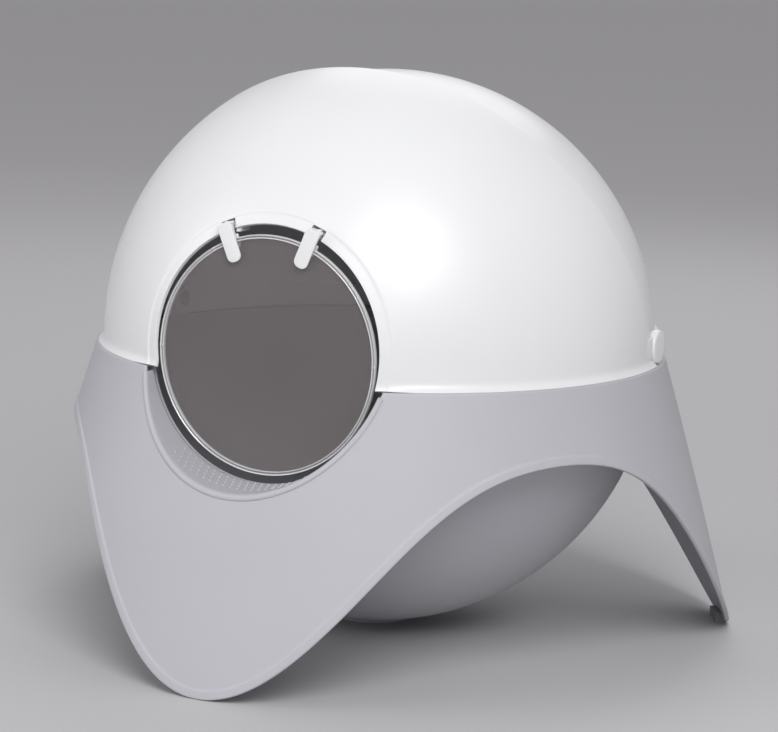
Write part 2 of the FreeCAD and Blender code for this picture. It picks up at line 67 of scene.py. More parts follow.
ENTRY_HEIGHT = 277 * MM
TUNNEL_RADIUS = 112.5 * MM
LINER_WALL = 2.4 * MM
LINER_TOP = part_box("entry_liner")[1].z
MOUTH_RADIUS = TUNNEL_RADIUS + LINER_WALL + 0.2 * MM
DOORWAY_RADIUS = TUNNEL_RADIUS + 0.5 * MM

VISOR_RADIUS = 251 * MM
VISOR_CENTRE = Vector((0, 0, 264.5 * MM))
VISOR_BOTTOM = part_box("hood_front")[0].z
PORT_RADIUS = 106.3 * MM
PORT_BAND_DEPTH = 0.7 * MM
LIP_RADIUS = 256 * MM
LIP_RISE = 8 * MM
PARTING_TILT = math.radians(22.3)
PARTING_POINT = Vector((0, 39.25 * MM, BOWL_HEIGHT))
PARTING_LAP = 8 * MM
REAR_RADIUS = 244.5 * MM
REAR_CENTRE = Vector((0, 9 * MM, 257.7 * MM))
REAR_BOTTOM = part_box("hood_rear")[0].z
COLLAR_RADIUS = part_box("hood_rear")[1].y
COLLAR_RISE = 10.5 * MM
SHOULDER_RADIUS = 246.5 * MM
SHOULDER_RISE = 25 * MM
COLLAR_START = 3 * MM

PIVOT = Vector((0, 44 * MM, 269.5 * MM))
EAR_RADIUS = 15 * MM
EAR_INSIDE = 245.2 * MM

DOOR_FRONT = 223.5 * MM
DOOR_HEIGHT = 272 * MM
DISC_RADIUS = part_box("door_disc")[1].x
DISC_SHEET = 2.4 * MM
TRIM_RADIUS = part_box("door_edge_trim")[1].x
TRIM_WIDTH = 3.5 * MM
TRIM_DEPTH = 4.4 * MM
CLIP_ANGLE = math.radians(22.3)
CLIP_WIDTH = 13 * MM
CLIP_NECK = 8 * MM
CLIP_SHEET = 2.2 * MM
CLIP_PIN_REACH = 108.5 * MM
CLIP_PIN_FRONT = 218 * MM
CLIP_FRONT_STRAP = (78 * MM, 112 * MM)
CLIP_BACK_STRAP = (88 * MM, 100.5 * MM)
CLIP_TAB = (98 * MM, 105 * MM)
CLIP_BRIDGE = (104.2 * MM, 110 * MM)
CLIP_HOOK = (109.7 * MM, 111.95 * MM)
CLIP_HOOK_HALF = 5.4 * MM
NOTCH_HALF = 6.7 * MM
NOTCH_TOP = 113.9 * MM

X_AXIS = Vector((1, 0, 0))
Y_AXIS = Vector((0, 1, 0))


# ---------------------------------------------------------------- mesh helpers
def new_object(name, points, faces):
    mesh = bpy.data.meshes.new(name)
    mesh.from_pydata([tuple(point) for point in points], [], faces)
    obj = bpy.data.objects.new(name, mesh)
    bpy.context.scene.collection.objects.link(obj)
    return obj


def grid_faces(columns, rows, close_columns=False, close_rows=False, start=0):
    """Quads of a grid whose points are stored column by column."""
    faces = []
    for i in range(columns if close_columns else columns - 1):
        following = (i + 1) % columns
        for j in range(rows if close_rows else rows - 1):
            upper = (j + 1) % rows
            faces.append((start + i * rows + j, start + following * rows + j,
                          start + following * rows + upper, start + i * rows + upper))
    return faces


def grid_object(name, grid, close_columns=False, close_rows=False, cap_columns=False):
    """An object from a grid of points; capping closes a swept section at both ends."""
    points = [point for column in grid for point in column]
    columns, rows = len(grid), len(grid[0])
    faces = grid_faces(columns, rows, close_columns, close_rows)
    if cap_columns:
        faces.append(tuple(range(rows)))
        faces.append(tuple(range((columns - 1) * rows, columns * rows))[::-1])
    obj = new_object(name, points, faces)
    clean(obj)
    return obj


def clean(obj):
    """Merge points that coincide, drop faces of no area and turn all faces outward."""
    work = bmesh.new()
    work.from_mesh(obj.data)
    bmesh.ops.remove_doubles(work, verts=work.verts, dist=1e-6)
    bmesh.ops.dissolve_degenerate(work, edges=work.edges, dist=1e-7)
    bmesh.ops.recalc_face_normals(work, faces=work.faces)
    work.to_mesh(obj.data)
    work.free()


def thicken(obj, thickness):
    """Give a single skin a wall that grows inward."""
    solid = obj.modifiers.new("wall", "SOLIDIFY")
    solid.thickness = thickness
    solid.offset = -1
    solid.use_even_offset = True


def round_edges(obj, width, segments=3, angle=math.radians(45)):
    bevel = obj.modifiers.new("edges", "BEVEL")
    bevel.width = width
    bevel.segments = segments
    bevel.limit_method = "ANGLE"
    bevel.angle_limit = angle


def settle(obj, sharp=math.radians(38)):
    """Apply the modifiers, then smooth shading that keeps real corners."""
    graph = bpy.context.evaluated_depsgraph_get()
    mesh = bpy.data.meshes.new_from_object(obj.evaluated_get(graph))
    obj.modifiers.clear()
    obj.data = mesh
    mesh.shade_smooth()
    mesh.set_sharp_from_angle(angle=sharp)
    return obj


def join(target, others):
    """Add other meshes to a piece as more of the same moulding."""
    work = bmesh.new()
    for obj in [target] + others:
        work.from_mesh(obj.data)
    work.to_mesh(target.data)
    work.free()
    for obj in others:
        bpy.data.objects.remove(obj)
    return target


def lathe(name, outline, place, steps=64):
    """A closed outline of (radius, height) points turned about an axis.

    The place is a matrix whose Z axis is the axis of turning.
    """
    grid = []
    for i in range(steps):
        turn = 2 * math.pi * i / steps
        grid.append([
            place @ Vector((radius * math.cos(turn), radius * math.sin(turn), height))
            for radius, height in outline
        ])
    return grid_object(name, grid, close_columns=True, close_rows=True)


def along_axis(origin, axis):
    """Matrix that takes the Z axis to an axis through a point."""
    return Matrix.Translation(origin) @ axis.to_track_quat("Z", "Y").to_matrix().to_4x4()


def soft_slab(name, outline, low, high, radius, place, steps=4):
    """A plate between two heights with a rounded edge, from a convex outline of (x, y) points."""
    count = len(outline)
    points = [Vector((x, y)) for x, y in outline]
    normals = []
    for i in range(count):
        edge = points[(i + 1) % count] - points[i - 1]
        normals.append(Vector((edge.y, -edge.x)).normalized())
    rings = []
    for level, sign in ((low, 1), (high, -1)):
        arcs = []
        for step in range(steps + 1):
            turn = math.pi / 2 * step / steps
            inset = radius * (1 - math.sin(turn))
            lift = radius * (1 - math.cos(turn))
            arcs.append((inset, level + sign * lift))
        rings += arcs if sign > 0 else arcs[::-1]
    grid = []
    for point, normal in zip(points, normals):
        column = []
        for inset, height in rings:
            spot = point - normal * inset
            column.append(place @ Vector((spot.x, spot.y, height)))
        grid.append(column)
    obj = new_object(name, [p for column in grid for p in column],
                     grid_faces(count, len(rings), close_columns=True))
    work = bmesh.new()
    work.from_mesh(obj.data)
    work.verts.ensure_lookup_table()
    for row in (0, len(rings) - 1):
        work.faces.new([work.verts[i * len(rings) + row] for i in range(count)])
    bmesh.ops.recalc_face_normals(work, faces=work.faces)
    work.to_mesh(obj.data)
    work.free()
    return obj


def rounded_rectangle(left, right, low, high, radius, steps=8):
    """Outline, anticlockwise, of a rectangle with one corner radius."""
    points = []
    corners = ((right - radius, low + radius, -90), (right - radius, high - radius, 0),
               (left + radius, high - radius, 90), (left + radius, low + radius, 180))
    for x, y, first in corners:
        for step in range(steps + 1):
            turn = math.radians(first + 90 * step / steps)
            points.append((x + radius * math.cos(turn), y + radius * math.sin(turn)))
    return points


def ease(value):
    """Smooth step from 0 to 1."""
    value = min(max(value, 0.0), 1.0)
    return value * value * (3 - 2 * value)


def spread(start, end, count):
    """Evenly spaced numbers, both ends included."""
    return [start + (end - start) * i / (count - 1) for i in range(count)]


def side_name(side):
    return "right" if side > 0 else "left"


# ---------------------------------------------------------------- materials
def node(tree, kind, **values):
    made = tree.nodes.new(kind)
    for key, value in values.items():
        if key in made.inputs:
            made.inputs[key].default_value = value
        else:
            setattr(made, key, value)
    return made


def noise(tree, scale, detail=2.0, roughness=0.5):
    coordinates = node(tree, "ShaderNodeTexCoord")
    texture = node(tree, "ShaderNodeTexNoise", Scale=scale, Detail=detail, Roughness=roughness)
    tree.links.new(coordinates.outputs["Object"], texture.inputs["Vector"])
    return texture.outputs["Fac"]


def remap(tree, value, low, high):
    step = node(tree, "ShaderNodeMapRange")
    step.inputs["From Min"].default_value = 0.3
    step.inputs["From Max"].default_value = 0.7
    step.inputs["To Min"].default_value = low
    step.inputs["To Max"].default_value = high
    tree.links.new(value, step.inputs["Value"])
    return step.outputs["Result"]


def tinted(tree, value, first, second):
    """A colour that drifts between two tints."""
    ramp = node(tree, "ShaderNodeValToRGB")
    ramp.color_ramp.elements[0].position = 0.3
    ramp.color_ramp.elements[0].color = (*first, 1)
    ramp.color_ramp.elements[1].position = 0.7
    ramp.color_ramp.elements[1].color = (*second, 1)
    tree.links.new(value, ramp.inputs["Fac"])
    return ramp.outputs["Color"]


def bump(tree, layers):
    """Normals from layers of (height, strength, distance), each on top of the last."""
    normal = None
    for height, strength, distance in layers:
        made = node(tree, "ShaderNodeBump", Strength=strength, Distance=distance)
        tree.links.new(height, made.inputs["Height"])
        if normal is not None:
            tree.links.new(normal, made.inputs["Normal"])
        normal = made.outputs["Normal"]
    return normal


def new_material(name):
    material = bpy.data.materials.new(name)
    material.use_nodes = True
    return material, material.node_tree, material.node_tree.nodes["Principled BSDF"]


def moulded(name, first, second, rough, grain_scale, grain, flow=0.0):
    """Moulded plastic: two close tints, uneven gloss, fine grain and slight flow waves."""
    material, tree, shader = new_material(name)
    tree.links.new(tinted(tree, noise(tree, 6.0), first, second), shader.inputs["Base Color"])
    patches = noise(tree, 38.0, 4.0)
    tree.links.new(remap(tree, patches, rough - 0.04, rough + 0.04), shader.inputs["Roughness"])
    layers = [(noise(tree, grain_scale, 3.0, 0.6), grain, 0.0004)]
    if flow:
        layers.append((noise(tree, 9.0, 1.0), flow, 0.002))
    tree.links.new(bump(tree, layers), shader.inputs["Normal"])
    return material


def white_plastic():
    material = moulded("white_shell", (0.83, 0.835, 0.85), (0.86, 0.865, 0.875), 0.36, 1100.0, 0.05, 0.04)
    shader = material.node_tree.nodes["Principled BSDF"]
    shader.inputs["Coat Weight"].default_value = 0.12
    shader.inputs["Coat Roughness"].default_value = 0.25
    return material


def clear_plastic(name, colour, alpha, rough, scratch):
    """Clear acrylic: nearly see-through, glossy, with faint hairlines."""
    material, tree, shader = new_material(name)
    shader.inputs["Alpha"].default_value = alpha
    shader.inputs["IOR"].default_value = 1.49
    shader.inputs["Specular IOR Level"].default_value = 0.9
    # The two tints come from the caller: painted shade for the door sheet, painted highlight for the trim.
    tint_noise = noise(tree, 14.0, 3.0)
    near = tuple(channel * 0.94 for channel in colour)
    tree.links.new(tinted(tree, tint_noise, near, colour), shader.inputs["Base Color"])
    tree.links.new(remap(tree, noise(tree, 240.0, 5.0), rough, rough + 0.05), shader.inputs["Roughness"])
    tree.links.new(bump(tree, [(noise(tree, 700.0, 6.0), scratch, 0.0002)]), shader.inputs["Normal"])
    return material


def beaded_trim():
    """Clear strip painted near-white along its two beads, a painted highlight on them, and nearly see-through
    between them.
    """
    material = clear_plastic("clear_trim", (0.9, 0.9, 0.91), 0.5, 0.1, 0.05)
    tree = material.node_tree
    shader = tree.nodes["Principled BSDF"]
    coordinates = node(tree, "ShaderNodeTexCoord")
    flatten = node(tree, "ShaderNodeMapping")
    flatten.inputs["Location"].default_value = (0, 0, -DOOR_HEIGHT)
    flatten.inputs["Scale"].default_value = (1, 0, 1)
    distance = node(tree, "ShaderNodeVectorMath", operation="LENGTH")
    across = node(tree, "ShaderNodeMapRange")
    across.inputs["From Min"].default_value = TRIM_RADIUS - TRIM_WIDTH
    across.inputs["From Max"].default_value = TRIM_RADIUS
    ramp = node(tree, "ShaderNodeValToRGB")
    # Alpha across the strip: high on both beads, where the near-white colour is painted highlight, low in the
    # groove between them.
    bead_highlight_stops = [(0.0, 0.75), (0.22, 0.8), (0.34, 0.16), (0.6, 0.16), (0.72, 0.85), (1.0, 0.7)]
    while len(ramp.color_ramp.elements) < len(bead_highlight_stops):
        ramp.color_ramp.elements.new(0.5)
    for element, (position, value) in zip(ramp.color_ramp.elements, bead_highlight_stops):
        element.position = position
        element.color = (value, value, value, 1)
    tree.links.new(coordinates.outputs["Object"], flatten.inputs["Vector"])
    tree.links.new(flatten.outputs["Vector"], distance.inputs[0])
    tree.links.new(distance.outputs["Value"], across.inputs["Value"])
    tree.links.new(across.outputs["Result"], ramp.inputs["Fac"])
    tree.links.new(ramp.outputs["Color"], shader.inputs["Alpha"])
    return material


def brushed_steel():
    """Drawn steel: grooves that run along the pin."""
    material, tree, shader = new_material("steel_pin")
    shader.inputs["Metallic"].default_value = 1.0
    coordinates = node(tree, "ShaderNodeTexCoord")
    stretch = node(tree, "ShaderNodeMapping")
    stretch.inputs["Scale"].default_value = (60.0, 3200.0, 3200.0)
    grooves = node(tree, "ShaderNodeTexNoise", Scale=1.0, Detail=3.0)
    tree.links.new(coordinates.outputs["Object"], stretch.inputs["Vector"])
    tree.links.new(stretch.outputs["Vector"], grooves.inputs["Vector"])
    lines = grooves.outputs["Fac"]
    tree.links.new(tinted(tree, lines, (0.46, 0.46, 0.48), (0.62, 0.62, 0.64)), shader.inputs["Base Color"])
    tree.links.new(remap(tree, lines, 0.22, 0.4), shader.inputs["Roughness"])
    tree.links.new(bump(tree, [(lines, 0.15, 0.0001)]), shader.inputs["Normal"])
    return material


WHITE = white_plastic()
TRIM_WHITE = moulded("white_trim", (0.84, 0.845, 0.86), (0.87, 0.872, 0.88), 0.3, 1400.0, 0.03)
GREY = moulded("grey_shell", (0.5, 0.5, 0.535), (0.525, 0.525, 0.56), 0.55, 1500.0, 0.14, 0.03)
# Painted shade: the sheet's brownish tint at low alpha stands in for the dim, shaded inside seen through the
# door.
CLEAR = clear_plastic("clear_sheet", (0.44, 0.395, 0.395), 0.17, 0.04, 0.02)
CLEAR_TRIM = beaded_trim()
RUBBER = moulded("rubber_pad", (0.3, 0.3, 0.31), (0.34, 0.34, 0.35), 0.78, 900.0, 0.3)
STEEL = brushed_steel()


def dress(obj, body, nodes, material):
    """Material, body and CAD node of a finished piece."""
    obj.data.materials.clear()
    obj.data.materials.append(material)
    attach(obj, body)
    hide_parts(*nodes)
    return obj


# ---------------------------------------------------------------- skirt with three legs
def wall_radius(height):
    """Outside of the skirt's flared wall at a height."""
    share = (RIM_HEIGHT - height) / RIM_HEIGHT
    straight = RIM_RADIUS + (SKIRT_RADIUS - RIM_RADIUS) * share
    return straight + 4 * SKIRT_BULGE * share * (1 - share)


def hem_height(angle):
    return HEM_MEAN - HEM_WAVE * math.cos(3 * angle) - HEM_RIPPLE * math.cos(6 * angle)


def hem_slope(angle):
    return 3 * HEM_WAVE * math.sin(3 * angle) + 6 * HEM_RIPPLE * math.sin(6 * angle)


def hem_place(angle, offset):
    """(angle, height) of the hem moved square to itself up the wall."""
    run = wall_radius(hem_height(angle))
    steep = hem_slope(angle)
    length = math.hypot(run, steep)
    return angle - offset * steep / length / run, hem_height(angle) + offset * run / length


def polar(angle, radius, height):
    return Vector((radius * math.sin(angle), -radius * math.cos(angle), height))


def mouth_place(turn, radius):
    """(angle, height) on the skirt of a mouth circle's point, turned from its lowest point."""
    height = ENTRY_HEIGHT - radius * math.cos(turn)
    return math.asin(radius * math.sin(turn) / wall_radius(height)), height


def skirt_columns():
    """Where each column of the skirt starts on the hem and how it ends at the top.

    Each is (hem angle, mouth turn or None).
    """
    corner = math.acos((ENTRY_HEIGHT - RIM_HEIGHT) / MOUTH_RADIUS)
    corner_angle = mouth_place(corner, MOUTH_RADIUS)[0]
    columns = []
    half = 30
    for i in range(-half, half + 1):
        columns.append((corner_angle * i / half, corner * i / half))
    rest = 216
    for i in range(1, rest):
        columns.append((corner_angle + (2 * math.pi - 2 * corner_angle) * i / rest, None))
    return columns


def top_place(column, retreat):
    """(angle, height) a distance below the skirt's top edge or outside its mouth."""
    hem_angle, turn = column
    if turn is None:
        return hem_angle, RIM_HEIGHT - retreat
    angle, height = mouth_place(turn, MOUTH_RADIUS + retreat)
    return angle, min(height, RIM_HEIGHT - retreat)


def make_skirt():
    """Flared wall with a raised band on its hem, a rolled top edge and an inner shelf.

    The outlines are (distance from the edge, how proud of the wall), in millimetres.
    """
    band_face = [(0.0, -0.9), (0.15, -0.1), (0.5, 0.7), (1.0, 1.08), (1.7, 1.2), (3.4, 1.2),
                 (5.2, 1.2), (6.7, 1.2), (7.3, 1.05), (7.7, 0.6), (8.0, 0.2), (8.5, 0.02), (9.6, 0.0)]
    top_edge = [(2.4, 0.0), (1.1, 0.0), (0.5, -0.12), (0.12, -0.5), (0.0, -1.1),
                (0.0, -1.9), (0.12, -2.5), (0.5, -2.88), (1.1, -3.0), (2.4, -3.0)]
    hem_inside = [(9.6, -3.0), (3.0, -3.0), (0.9, -3.0), (0.3, -2.7), (0.0, -2.1)]
    shelf = [(3.3, 0.0), (3.5, 0.4), (3.5, 4.6), (3.9, 5.4), (4.9, 5.7), (5.9, 5.4), (6.4, 4.6),
             (6.5, 0.5), (6.8, 0.0)]
    outer_rows = 30
    inner_rows = 16
    below_shelf = 7.5 * MM
    inside_mouth = 2.8 * MM
    grid = []
    for column in skirt_columns():
        points = []
        for offset, proud in band_face:
            angle, height = hem_place(column[0], offset * MM)
            points.append(polar(angle, wall_radius(height) + proud * MM, height))
        start = hem_place(column[0], band_face[-1][0] * MM)
        end = top_place(column, top_edge[0][0] * MM)
        for share in spread(0, 1, outer_rows)[1:-1]:
            angle = start[0] + (end[0] - start[0]) * share
            height = start[1] + (end[1] - start[1]) * share
            points.append(polar(angle, wall_radius(height), height))
        for retreat, proud in top_edge:
            angle, height = top_place(column, retreat * MM)
            points.append(polar(angle, wall_radius(height) + proud * MM, height))
        if column[1] is None:
            for drop, reach in shelf:
                height = RIM_HEIGHT - drop * MM
                points.append(polar(column[0], wall_radius(height) - WALL - reach * MM, height))
        else:
            points += [points[-1]] * len(shelf)
        inner_start = top_place(column, below_shelf if column[1] is None else inside_mouth)
        inner_end = hem_place(column[0], hem_inside[0][0] * MM)
        for share in spread(0, 1, inner_rows)[:-1]:
            angle = inner_start[0] + (inner_end[0] - inner_start[0]) * share
            height = inner_start[1] + (inner_end[1] - inner_start[1]) * share
            points.append(polar(angle, wall_radius(height) - WALL, height))
        for offset, proud in hem_inside:
            angle, height = hem_place(column[0], offset * MM)
            points.append(polar(angle, wall_radius(height) + proud * MM, height))
        grid.append(points)
    skirt = grid_object("skirt", grid, close_columns=True, close_rows=True)
    settle(skirt)
    return dress(skirt, "base", ["skirt_base"], GREY)


# ---------------------------------------------------------------- entry tunnel
def wall_front(x, height):
    """How far the skirt's face lies in front of the axis at a place in the tunnel."""
    return math.sqrt(wall_radius(height) ** 2 - x ** 2)


def liner_point(turn, radius, front):
    return Vector((radius * math.sin(turn), -front, ENTRY_HEIGHT - radius * math.cos(turn)))


def liner_front(turn, radius):
    height = ENTRY_HEIGHT - radius * math.cos(turn)
    return wall_front(radius * math.sin(turn), height)


def liner_back(turn, radius):
    height = ENTRY_HEIGHT - radius * math.cos(turn)
    room = BOWL_RADIUS + 0.5 * MM
    x = radius * math.sin(turn)
    return math.sqrt(room ** 2 - x ** 2 - (height - BOWL_HEIGHT) ** 2)


def make_liner():
    """Tunnel with a rolled front edge over the skirt's mouth.

    The roll is (distance outside the tunnel, how proud of the skirt), in millimetres.
    """
    half_turn = math.acos((ENTRY_HEIGHT - LINER_TOP) / TUNNEL_RADIUS)
    roll = [(5.2, 0.15), (4.9, 0.7), (4.1, 1.15), (3.0, 1.35), (1.9, 1.2), (1.0, 0.6), (0.4, -0.4),
            (0.08, -1.7), (0.0, -3.2)]
    back_edge = ((0.0, 1.0), (0.25, 0.35), (1.2, 0.0), (2.1, 0.3), (2.4, 1.0))
    roll_depth = 3.2 * MM
    edge_room = 1.0 * MM
    grid = []
    for turn in spread(-half_turn, half_turn, 97):
        points = []
        for out, proud in roll:
            radius = TUNNEL_RADIUS + out * MM
            points.append(liner_point(turn, radius, liner_front(turn, radius) + proud * MM))
        front = liner_front(turn, TUNNEL_RADIUS) - roll_depth
        back = liner_back(turn, TUNNEL_RADIUS)
        for share in spread(0, 1, 12)[1:-1]:
            points.append(liner_point(turn, TUNNEL_RADIUS, front + (back + edge_room - front) * share))
        for out, short in back_edge:
            radius = TUNNEL_RADIUS + out * MM
            points.append(liner_point(turn, radius, liner_back(turn, radius) + short * MM))
        outside = TUNNEL_RADIUS + LINER_WALL
        for share in spread(0.1, 1, 6):
            start = liner_back(turn, outside)
            end = liner_front(turn, outside) - edge_room
            points.append(liner_point(turn, outside, start + (end - start) * share))
        grid.append(points)
    liner = grid_object("entry_tunnel", grid, close_rows=True, cap_columns=True)
    settle(liner)
    return liner


def grip_bumps():
    """Small domes in staggered rows on the tunnel's floor."""
    radius = 1.25 * MM
    height = 1.0 * MM
    pitch = 6.6 * MM
    first_row = 238 * MM
    row_step = 8.4 * MM
    row_count = 4
    reach = math.radians(37)
    clear_of_edge = 9 * MM
    sunk = 0.25 * MM
    domes = []
    sides, rings = 10, 4
    points, faces = [], []
    step = pitch / TUNNEL_RADIUS
    for row in range(row_count):
        front = first_row + row * row_step
        count = int(reach / step)
        for i in range(-count, count + 1):
            turn = (i + 0.5 * (row % 2)) * step
            if abs(turn) > reach or front > liner_front(turn, TUNNEL_RADIUS) - clear_of_edge:
                continue
            domes.append((turn, front))
    for turn, front in domes:
        inward = Vector((-math.sin(turn), 0, math.cos(turn)))
        across = Vector((math.cos(turn), 0, math.sin(turn)))
        centre = liner_point(turn, TUNNEL_RADIUS + sunk, front)
        start = len(points)
        for ring in range(rings):
            lean = math.pi / 2 * ring / rings
            for side in range(sides):
                around = 2 * math.pi * side / sides
                spot = across * math.cos(around) + Y_AXIS * math.sin(around)
                points.append(centre + spot * radius * math.cos(lean)
                              + inward * (height + sunk) * math.sin(lean))
        points.append(centre + inward * (height + sunk))
        for ring in range(rings - 1):
            for side in range(sides):
                after = (side + 1) % sides
                low, high = start + ring * sides, start + (ring + 1) * sides
                faces.append((low + side, low + after, high + after, high + side))
        last = start + (rings - 1) * sides
        tip = start + rings * sides
        for side in range(sides):
            faces.append((last + side, last + (side + 1) % sides, tip))
        faces.append(tuple(range(start, start + sides))[::-1])
    bumps = new_object("grip_bumps", points, faces)
    clean(bumps)
    return settle(bumps, math.radians(60))


# ---------------------------------------------------------------- litter bowl
def make_bowl():
    """Round bowl with a flat foot, a flange at the top and a doorway cut in the front."""
    corner = math.acos((ENTRY_HEIGHT - BOWL_TOP) / DOORWAY_RADIUS)
    ball = BOWL_RADIUS

    def ball_height(radius, distance):
        return BOWL_HEIGHT - math.sqrt(radius ** 2 - distance ** 2)

    def doorway(turn, radius):
        """(angle, distance, height) of the doorway's edge on a sphere about the bowl's centre."""
        x = DOORWAY_RADIUS * math.sin(turn)
        height = ENTRY_HEIGHT - DOORWAY_RADIUS * math.cos(turn)
        distance = math.sqrt(radius ** 2 - (height - BOWL_HEIGHT) ** 2)
        return math.asin(x / distance), distance, height

    half = 24
    edge_angle = doorway(corner, ball)[0]
    columns = [(edge_angle * i / half, corner * i / half) for i in range(-half, half + 1)]
    rest = 150
    columns += [(edge_angle + (2 * math.pi - 2 * edge_angle) * i / rest, None) for i in range(1, rest)]
    foot_height = ball_height(ball, BOWL_FOOT)
    inner = ball - WALL
    floor_radius = BOWL_FOOT - WALL
    floor_height = ball_height(inner, floor_radius)
    rows = 30
    flange_sheet = 2.5 * MM
    flange = [(1.0, -2.5), (0.0, -1.9), (0.0, -0.6), (0.6, 0.0)]
    grid = []
    for angle, turn in columns:
        points = [Vector((0, 0, 0)), polar(angle, BOWL_FOOT - 2 * MM, 0),
                  polar(angle, BOWL_FOOT - 0.5 * MM, 0.5 * MM), polar(angle, BOWL_FOOT, 2 * MM),
                  polar(angle, BOWL_FOOT, foot_height - 1 * MM)]
        for radius, first in ((ball, BOWL_FOOT), (inner, floor_radius)):
            lean_start = math.asin(first / radius)
            if turn is None:
                end_angle = angle
                top = BOWL_TOP - (flange_sheet if radius == ball else 0)
                lean_end = math.acos((BOWL_HEIGHT - top) / radius)
            else:
                end_angle, distance, height = doorway(turn, radius)
                lean_end = math.acos((BOWL_HEIGHT - height) / radius)
            leans = spread(lean_start, lean_end, rows)
            side = []
            for share, lean in zip(spread(0, 1, rows), leans):
                drift = angle + (end_angle - angle) * share
                side.append(polar(drift, radius * math.sin(lean),
                                  BOWL_HEIGHT - radius * math.cos(lean)))
            if radius == ball:
                points += side
                if turn is None:
                    points += [polar(angle, BOWL_FLANGE - back * MM, BOWL_TOP + drop * MM)
                               for back, drop in flange]
                else:
                    points += [side[-1]] * len(flange)
            else:
                points += side[::-1]
        points.append(Vector((0, 0, floor_height)))
        grid.append(points)
    bowl = grid_object("bowl", grid, close_columns=True)
    settle(bowl)
    return dress(bowl, "base", ["litter_bowl"], GREY)


# ---------------------------------------------------------------- hoods
def parting_normal():
    return Vector((0, math.cos(PARTING_TILT), math.sin(PARTING_TILT)))


def parting_arc(centre, radius, shift):
    """Centre and radius of a sphere's circle in the parting plane, moved back by a shift."""
    normal = parting_normal()
    upward = Vector((0, -math.sin(PARTING_TILT), math.cos(PARTING_TILT)))
    distance = (PARTING_POINT + normal * shift - centre).dot(normal)
    return centre + normal * distance, math.sqrt(radius ** 2 - distance ** 2), upward


def column_turns(radius, middle, upright, bottom, heights, count):
    """Turns from straight up of a circle's points: at fixed heights first, then evenly to the top."""
    low = [math.acos((bottom + height - middle) / (radius * upright)) for height in heights]
    return low + spread(low[-1], 0.0, count + 1)[1:]


def slerp(first, second, share):
    angle = first.angle(second)
    return (first * math.sin((1 - share) * angle) + second * math.sin(share * angle)) / math.sin(angle)


def lip_flare(height, distance):
    """How far the foot of a hood flares beyond its dome."""
    if height > LIP_RISE:
        return 0.0
    return max(LIP_RADIUS - distance, 0.0) * (1 - height / LIP_RISE) ** 2.4


def visor_skin():
    """Outer skin of the visor, in columns from the entry's edge back to the parting edge.

    The lowest rows keep level with the rim; higher up they follow the sphere.
    """
    heights = [value * MM for value in (0, 0.7, 1.5, 2.4, 3.5, 4.8, 6.3, 8.0, 10.0)]
    upper = 46
    level_rows = 12
    band_edge, band_slope = 9.2 * MM, 1.4 * MM
    lip_start, lip_fade, lip_at_entry = 2 * MM, 34 * MM, 0.3
    arc_centre, arc_radius, upward = parting_arc(VISOR_CENTRE, VISOR_RADIUS, 0.0)
    port_turns = column_turns(PORT_RADIUS, ENTRY_HEIGHT, 1.0, VISOR_BOTTOM, heights, upper)
    arc_turns = column_turns(arc_radius, arc_centre.z, math.cos(PARTING_TILT), VISOR_BOTTOM, heights, upper)
    near = [value * MM for value in (0, 2.2, 4.6, 7.0, 9.0, 9.6, 10.2, 10.8, 13.0)]
    grid = []
    for side in (-1, 1):
        order = range(len(port_turns)) if side < 0 else range(len(port_turns) - 2, -1, -1)
        for i in order:
            turn = port_turns[i]
            x = side * PORT_RADIUS * math.sin(turn)
            z = ENTRY_HEIGHT + PORT_RADIUS * math.cos(turn)
            y = -math.sqrt(VISOR_RADIUS ** 2 - x ** 2 - (z - VISOR_CENTRE.z) ** 2)
            first = (Vector((x, y, z)) - VISOR_CENTRE).normalized()
            swing = arc_turns[i]
            spot = arc_centre + arc_radius * (side * math.sin(swing) * X_AXIS + math.cos(swing) * upward)
            second = (spot - VISOR_CENTRE).normalized()
            span = first.angle(second) * VISOR_RADIUS
            hold = 1 - ease((i - len(heights) + 1) / level_rows)
            shares = [distance / span for distance in near]
            shares += spread(near[-1] / span, 1 - 3 * MM / span, 34)[1:] + [1.0]
            column = []
            for share in shares:
                ray = slerp(first, second, share)
                level = math.asin(ray.z)
                wanted = math.asin(first.z) * (1 - share) + math.asin(second.z) * share
                level += (wanted - level) * hold
                flat = Vector((ray.x, ray.y)).normalized()
                sink = PORT_BAND_DEPTH * (1 - ease((share * span - band_edge) / band_slope))
                radius = VISOR_RADIUS - sink
                distance = radius * math.cos(level)
                height = VISOR_CENTRE.z + radius * math.sin(level)
                if i < len(heights):
                    height = VISOR_BOTTOM + heights[i]
                away = ease((share * span - lip_start) / lip_fade)
                fullness = lip_at_entry + (1 - lip_at_entry) * away
                distance += lip_flare(height - VISOR_BOTTOM, distance) * fullness
                column.append(Vector((flat.x * distance, flat.y * distance, height)))
            grid.append(column)
    return grid


def make_visor():
    """Front dome with its entry, lip and clip notches, and the two ears that it turns on."""
    visor = grid_object("visor", visor_skin())
    face_outward(visor, VISOR_CENTRE)
    thicken(visor, WALL)
    round_edges(visor, 1.1 * MM)
    settle(visor)
    for side in (-1, 1):
        cut_notch(visor, side)
    join(visor, [piece for side in (-1, 1) for piece in make_ear(side)])
    settle(visor, math.radians(32))
    return dress(visor, "visor", ["hood_front"], WHITE)


def face_outward(obj, centre):
    """Turn a single skin so that its faces look away from a centre."""
    mesh = obj.data
    outward = sum((face.center - centre).dot(face.normal) for face in mesh.polygons)
    if outward < 0:
        mesh.flip_normals()


def clip_place(side):
    """Frame of a clip: x across it, y away from the entry's centre, z to the front."""
    lean = Matrix.Rotation(side * CLIP_ANGLE, 4, "Y")
    turn = Matrix.Rotation(math.pi / 2, 4, "X")
    return Matrix.Translation(Vector((0, 0, ENTRY_HEIGHT))) @ lean @ turn


